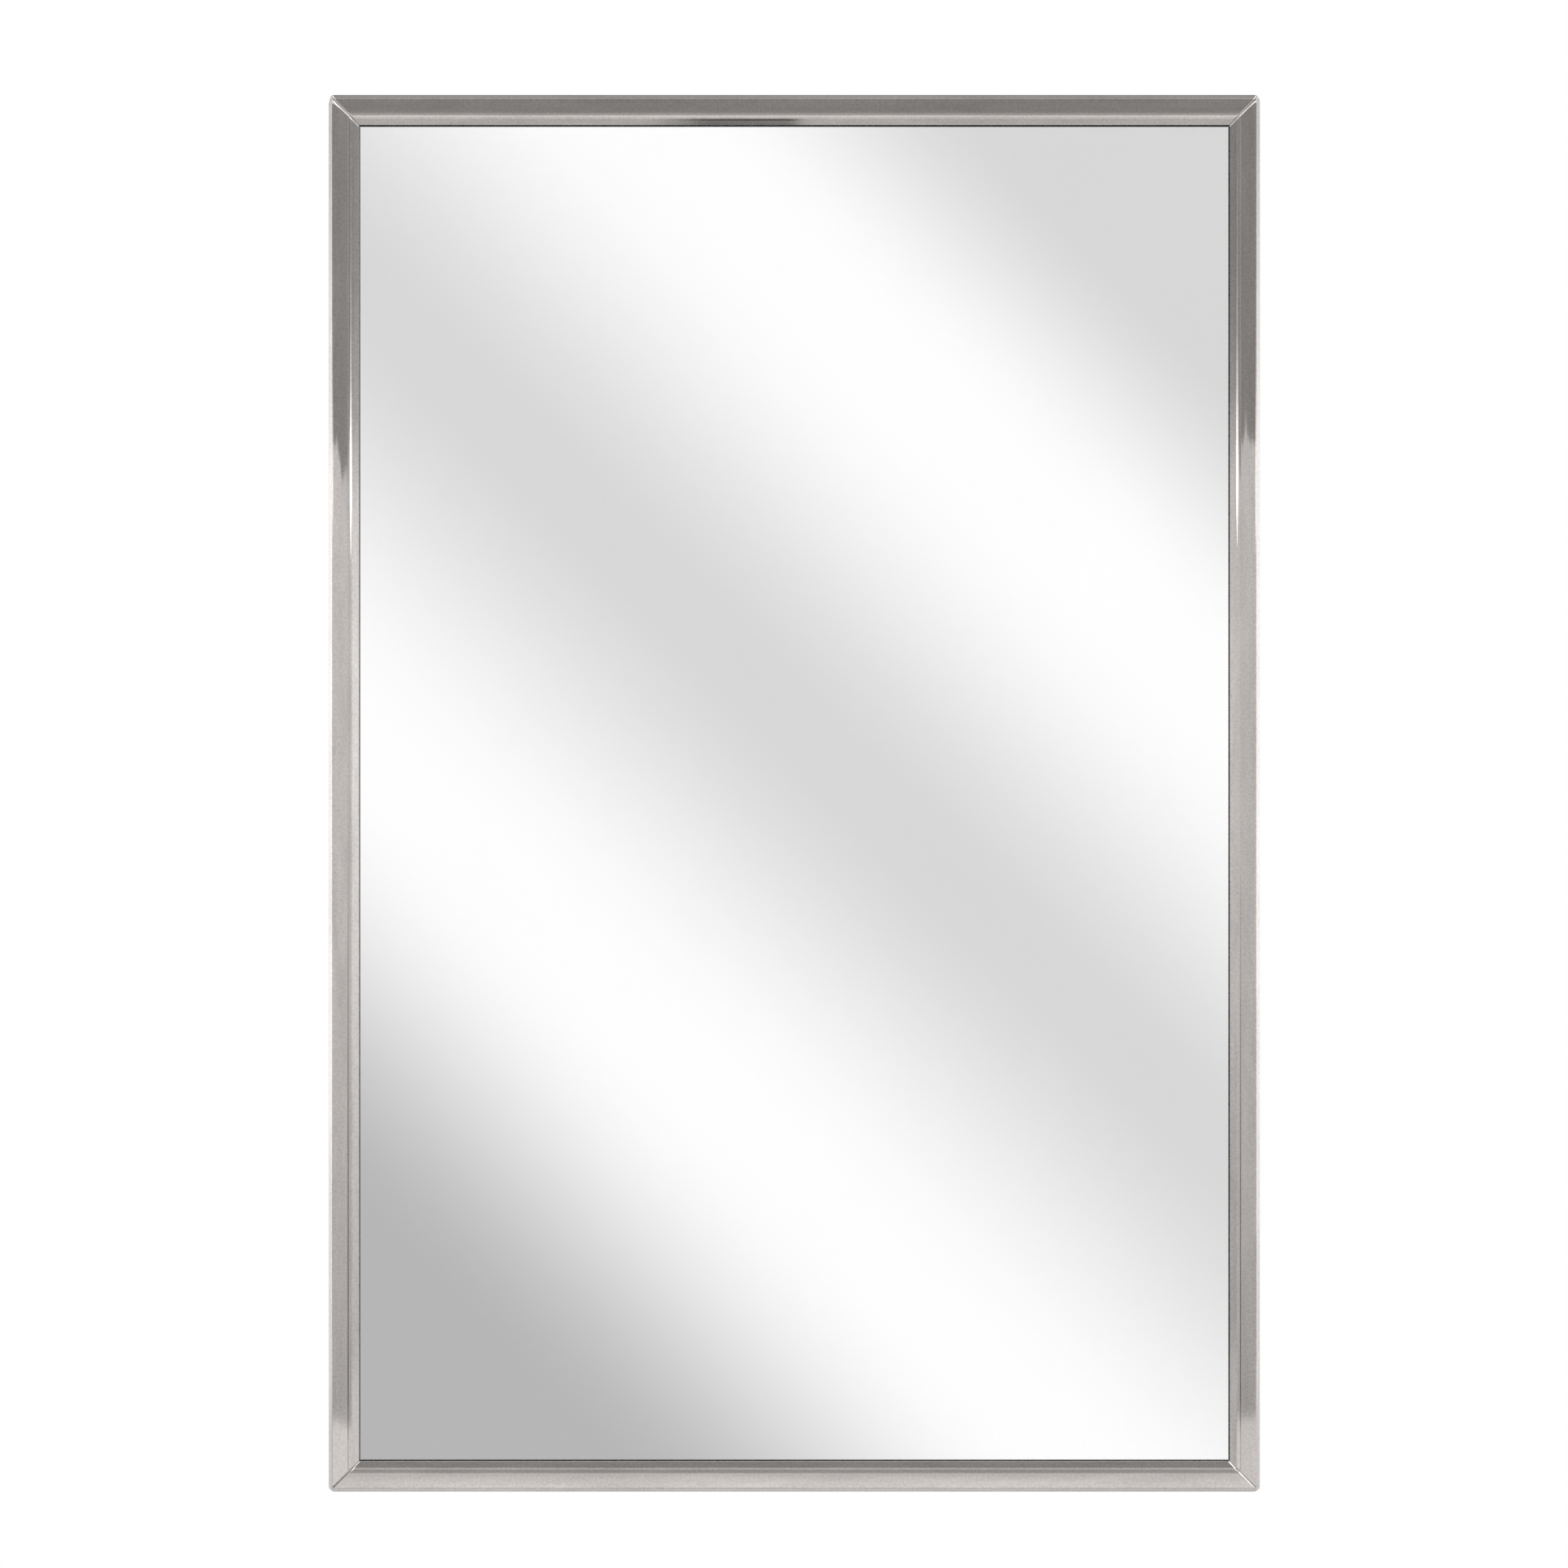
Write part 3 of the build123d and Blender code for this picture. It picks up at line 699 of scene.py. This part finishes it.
# Three soft lamps light the white enamel: a strong one at the left, a weaker and wider one at the right
# and one from behind. They are hidden from the camera and from every reflection.
for name, place, size, power in (
    ("key_lamp", (-1.5, -2.2, 1.7), 1.2, 34),
    ("fill_lamp", (1.9, -1.9, 0.8), 1.8, 12),
    ("rear_lamp", (0.6, 2.2, 1.5), 1.6, 22),
):
    lamp = bpy.data.lights.new(name, "AREA")
    lamp.energy = power
    lamp.size = size
    holder = bpy.data.objects.new(name, lamp)
    holder.location = place
    holder.rotation_mode = "QUATERNION"
    holder.rotation_quaternion = (-Vector(place)).to_track_quat("-Z", "Y")
    holder.visible_camera = False
    holder.visible_glossy = False
    holder.visible_transmission = False
    bpy.context.scene.collection.objects.link(holder)

# What the bright metal sees is a studio room with a dark ceiling, pale walls and white screens at the
# sides. It is drawn by bearing and height in degrees, as seen from the cabinet.
world = bpy.data.worlds.new("studio")
bpy.context.scene.world = world
world.use_nodes = True
tree = world.node_tree
tree.nodes.clear()


def work_out(kind, first, second=0.0):
    """One arithmetic step."""
    sum_node = tree.nodes.new("ShaderNodeMath")
    sum_node.operation = kind
    join(tree, first, sum_node.inputs[0])
    join(tree, second, sum_node.inputs[1])
    return sum_node.outputs["Value"]


def times(first, second):
    """One value times another."""
    return work_out("MULTIPLY", first, second)


def plus(first, second):
    """One value plus another."""
    return work_out("ADD", first, second)


def less(first, second):
    """The first value less the second."""
    return work_out("SUBTRACT", first, second)


def size_of(amount):
    """The value without its sign."""
    return work_out("ABSOLUTE", amount)


def ease(amount, start, end):
    """Rises smoothly from 0 to 1 between two values."""
    span = tree.nodes.new("ShaderNodeMapRange")
    span.interpolation_type = "SMOOTHSTEP"
    span.inputs["From Min"].default_value = start
    span.inputs["From Max"].default_value = end
    join(tree, amount, span.inputs["Value"])
    return span.outputs["Result"]


def within(amount, start, full, fading, end):
    """Rises from 0 to 1 between start and full, and falls again between fading and end."""
    return times(ease(amount, start, full), less(1.0, ease(amount, fading, end)))


def tones(amount, low, high, stops, style="LINEAR"):
    """Grey tones along a value that runs from low to high, as (value, tone)."""
    share = work_out("DIVIDE", less(amount, low), high - low)
    ramp = shades(tree, share, [((at - low) / (high - low), (tone,) * 3) for at, tone in stops])
    ramp.node.color_ramp.interpolation = style
    return ramp


def blend_of(share, first, second):
    """Goes from the first tone to the second."""
    mix = tree.nodes.new("ShaderNodeMix")
    mix.data_type = "FLOAT"
    mix.clamp_factor = True
    join(tree, share, mix.inputs["Factor"])
    join(tree, first, mix.inputs["A"])
    join(tree, second, mix.inputs["B"])
    return mix.outputs["Result"]


look = tree.nodes.new("ShaderNodeTexCoord")
way = tree.nodes.new("ShaderNodeSeparateXYZ")
tree.links.new(look.outputs["Generated"], way.inputs["Vector"])
right, back, up = way.outputs
bearing = work_out("DEGREES", size_of(work_out("ARCTAN2", right, times(back, -1.0))))
height = work_out("DEGREES", work_out("ARCSINE", up))
on_right = ease(right, -0.05, 0.05)

# The ceiling begins at a ragged skyline, which the flat of each side rail shows as a torn edge. It
# slopes with the bearing and lies a little higher on the right.
ragged = tree.nodes.new("ShaderNodeTexNoise")
ragged.inputs["Scale"].default_value = 24.0
ragged.inputs["Detail"].default_value = 3.0
tree.links.new(look.outputs["Generated"], ragged.inputs["Vector"])
slope_start = 10.0
slope_end = 14.0
slope = less(work_out("MINIMUM", bearing, slope_end), slope_start)
slope = times(slope, blend_of(on_right, -0.05, -0.03))
lower = plus(slope, blend_of(on_right, -0.19, -0.38))
lower = times(lower, less(1.0, ease(bearing, slope_end, 22)))
skyline = times(plus(less(ragged.outputs["Fac"], 0.5), lower), ease(height, 0, 1.5))
ridge_line = plus(height, skyline)

# Near the level of the eye the room is drawn three times, by bearing: for the rails' rounded crest, for
# their flat and for their bevel. Each row goes from the floor up to the ceiling.
face_tones = [
    (-10, 0.86),
    (-6.29, 0.86),
    (-6.22, 0.51),
    (-4.0, 0.62),
    (-1.0, 0.69),
    (2.96, 0.74),
    (3.06, 0.33),
    (10, 0.30),
]
crest_tones = [
    (-6.5, 0.62),
    (-6.1, 0.20),
    (-4.0, 0.27),
    (-2.3, 0.42),
    (-0.6, 0.66),
    (2.9, 0.72),
    (3.3, 0.40),
    (10, 0.38),
]
bevel_tones = [
    (-6.5, 0.72),
    (-6.1, 0.58),
    (-2.0, 0.86),
    (0.0, 0.94),
    (2.4, 0.86),
    (3.2, 0.48),
    (4.4, 0.34),
    (10, 0.33),
]
face_side = times(tones(ridge_line, -10, 10, face_tones), blend_of(on_right, 1.04, 0.95))
crest = tones(height, -10, 10, crest_tones)
bevel_line = plus(ridge_line, blend_of(on_right, -0.75, -0.45))
bevel_side = times(tones(bevel_line, -10, 10, bevel_tones), blend_of(on_right, 0.84, 1.1))
near = blend_of(ease(bearing, 5.0, 7.0), crest, face_side)
near = blend_of(ease(bearing, 22, 54), near, bevel_side)

# A bright lamp hangs in the near room on each side. It is wide and strong below and thins out upwards,
# so that the ridge of the rail draws it out into a white spear.
spear_reach = [
    (2.15, 0.0),
    (2.35, 0.13),
    (2.7, 0.30),
    (3.4, 0.30),
    (4.2, 0.19),
    (5.2, 0.12),
    (7.5, 0.07),
]
spear_glow = [
    (2.1, 0.6),
    (2.5, 0.95),
    (3.2, 0.74),
    (3.6, 0.46),
    (4.2, 0.29),
    (5.2, 0.19),
    (7.5, 0.13),
]
spear_height = less(height, blend_of(on_right, 0.2, 0.08))
reach = times(tones(spear_height, 0, 10, spear_reach), blend_of(on_right, 100.0, 84.0))
glow = times(tones(spear_height, 0, 10, spear_glow), blend_of(on_right, 2.4, 3.0))
off_spear = size_of(less(bearing, blend_of(on_right, 35.0, 29.0)))
spear_middle = 4.8
spear_half = 2.7
in_spear = less(1.0, ease(work_out("DIVIDE", off_spear, plus(reach, 0.01)), 0.2, 0.6))
in_spear = times(in_spear, work_out("LESS_THAN", size_of(less(height, spear_middle)), spear_half))
near = blend_of(in_spear, near, glow)

# Above and below that, straight ahead, is what the top and bottom rails see: the ceiling, the floor and
# the dark stand of the camera. To the sides of it is a plainer room.
far_tones = [
    (-90, 0.74),
    (-70, 0.70),
    (-58, 0.57),
    (-52, 0.57),
    (-47, 0.66),
    (-40, 0.73),
    (-30, 0.76),
    (-24, 0.81),
    (-18, 0.90),
    (-14, 0.85),
    (-9, 0.66),
    (9, 0.36),
    (11, 0.30),
    (17, 0.31),
    (20, 0.50),
    (38, 0.58),
    (47, 0.54),
    (51, 0.31),
    (60, 0.32),
    (90, 0.46),
]
far = tones(height, -90, 90, far_tones)
stand_tone = 0.14
stand = times(within(right, -0.024, -0.012, 0.001, 0.004), within(height, -58, -54, -50, -45))
far = blend_of(stand, far, stand_tone)
room_heights = [
    (-90, 0.60),
    (-60, 0.45),
    (-36, 0.62),
    (-24, 0.86),
    (-17, 0.60),
    (-9, 0.84),
    (9, 0.52),
    (30, 0.40),
    (52, 0.36),
    (90, 0.46),
]
room_bearings = [
    (0, 1.0),
    (24, 0.84),
    (44, 0.98),
    (58, 0.74),
    (84, 1.0),
    (120, 0.7),
    (180, 0.9),
]
room = times(tones(height, -90, 90, room_heights), tones(bearing, 0, 180, room_bearings))
steep = ease(size_of(height), 52, 64)
aslant = blend_of(times(ease(bearing, 10, 20), less(1.0, steep)), far, room)

# Three bright openings give the rounded and filed mitres their glints: a window high on both sides,
# a doorway low on the right and a skylight overhead.
window = times(within(height, 19, 23, 44, 52), within(bearing, 7, 11, 66, 76))
aslant = blend_of(window, aslant, blend_of(ease(bearing, 13, 19), 2.8, 1.0))
doorway = times(within(height, 9.5, 11, 25, 29), within(bearing, 22, 28, 74, 84))
aslant = blend_of(times(doorway, on_right), aslant, blend_of(ease(bearing, 36, 54), 2.0, 1.2))
skylight = times(within(height, 54, 57, 72, 76), within(bearing, 28, 38, 110, 120))
aslant = blend_of(skylight, aslant, 2.2)

# White screens stand at the sides, and the rails' rounded outer edges show them as a bright rim. They
# reach from the floor to the ceiling.
screen_tones = [
    (-10, 0.80),
    (-6.3, 0.85),
    (-5.0, 1.08),
    (-3.1, 1.28),
    (0.0, 1.42),
    (3.3, 1.38),
    (4.9, 1.08),
    (6.5, 0.84),
    (10, 0.80),
]
near_half = 9.5
around = blend_of(work_out("LESS_THAN", size_of(height), near_half), aslant, near)
beside = times(within(bearing, 56, 72, 130, 150), less(1.0, ease(size_of(height), 50, 70)))
around = blend_of(beside, around, tones(height, -10, 10, screen_tones))

# Far in front of the mirror stand broad slanting bands of light, which its silver and the flat glass
# show. They repeat beyond the view, folded back on themselves.
band_reach = 1200.0
band_scale = -7074.0
band_gain = 1.045
band_tones = [
    (-1060, 0.68),
    (-690, 0.99),
    (-600, 0.99),
    (-95, 0.68),
    (440, 0.99),
    (505, 0.99),
    (1050, 0.468),
]
slant = times(plus(right, up), band_scale)
folded = work_out("PINGPONG", plus(slant, band_reach), 2 * band_reach)
bands = tones(less(folded, band_reach), -band_reach, band_reach, band_tones, "EASE")

# The camera and clear glass see plain white behind the part. Matt surfaces are lit evenly, bright metal
# gets the room, and the sharp reflection in the mirror gets the bands.
even_light = 0.48
rays = tree.nodes.new("ShaderNodeLightPath")
mirrored = work_out("GREATER_THAN", rays.outputs["Glossy Depth"], 0.5)
sharp = times(rays.outputs["Is Singular Ray"], mirrored)
plain = work_out("MAXIMUM", rays.outputs["Is Camera Ray"], rays.outputs["Is Transmission Ray"])


def light(strength):
    """A white glow of one strength."""
    lit = tree.nodes.new("ShaderNodeBackground")
    lit.inputs["Color"].default_value = (1.0, 1.0, 1.0, 1.0)
    join(tree, strength, lit.inputs["Strength"])
    return lit.outputs["Background"]


def choose(share, first, second):
    """Shows the second where the share is 1."""
    mix = tree.nodes.new("ShaderNodeMixShader")
    tree.links.new(share, mix.inputs["Fac"])
    tree.links.new(first, mix.inputs[1])
    tree.links.new(second, mix.inputs[2])
    return mix.outputs["Shader"]


shown = choose(rays.outputs["Is Diffuse Ray"], light(around), light(even_light))
shown = choose(plain, shown, light(1.0))
shown = choose(sharp, shown, light(times(bands, band_gain)))
output = tree.nodes.new("ShaderNodeOutputWorld")
tree.links.new(shown, output.inputs["Surface"])

# The camera stands square in front of the mirror, as in the photograph, and far enough off that its
# long lens shows nothing of the frame's sides.
camera = bpy.data.cameras.new("camera")
camera.lens = 131.64
camera.sensor_width = 36.0
holder = bpy.data.objects.new("camera", camera)
holder.location = (-0.0045, -2.618, 0.00404)
holder.rotation_euler = (math.radians(90), 0, 0)
bpy.context.scene.collection.objects.link(holder)
bpy.context.scene.camera = holder
bpy.context.scene.view_settings.view_transform = "Standard"
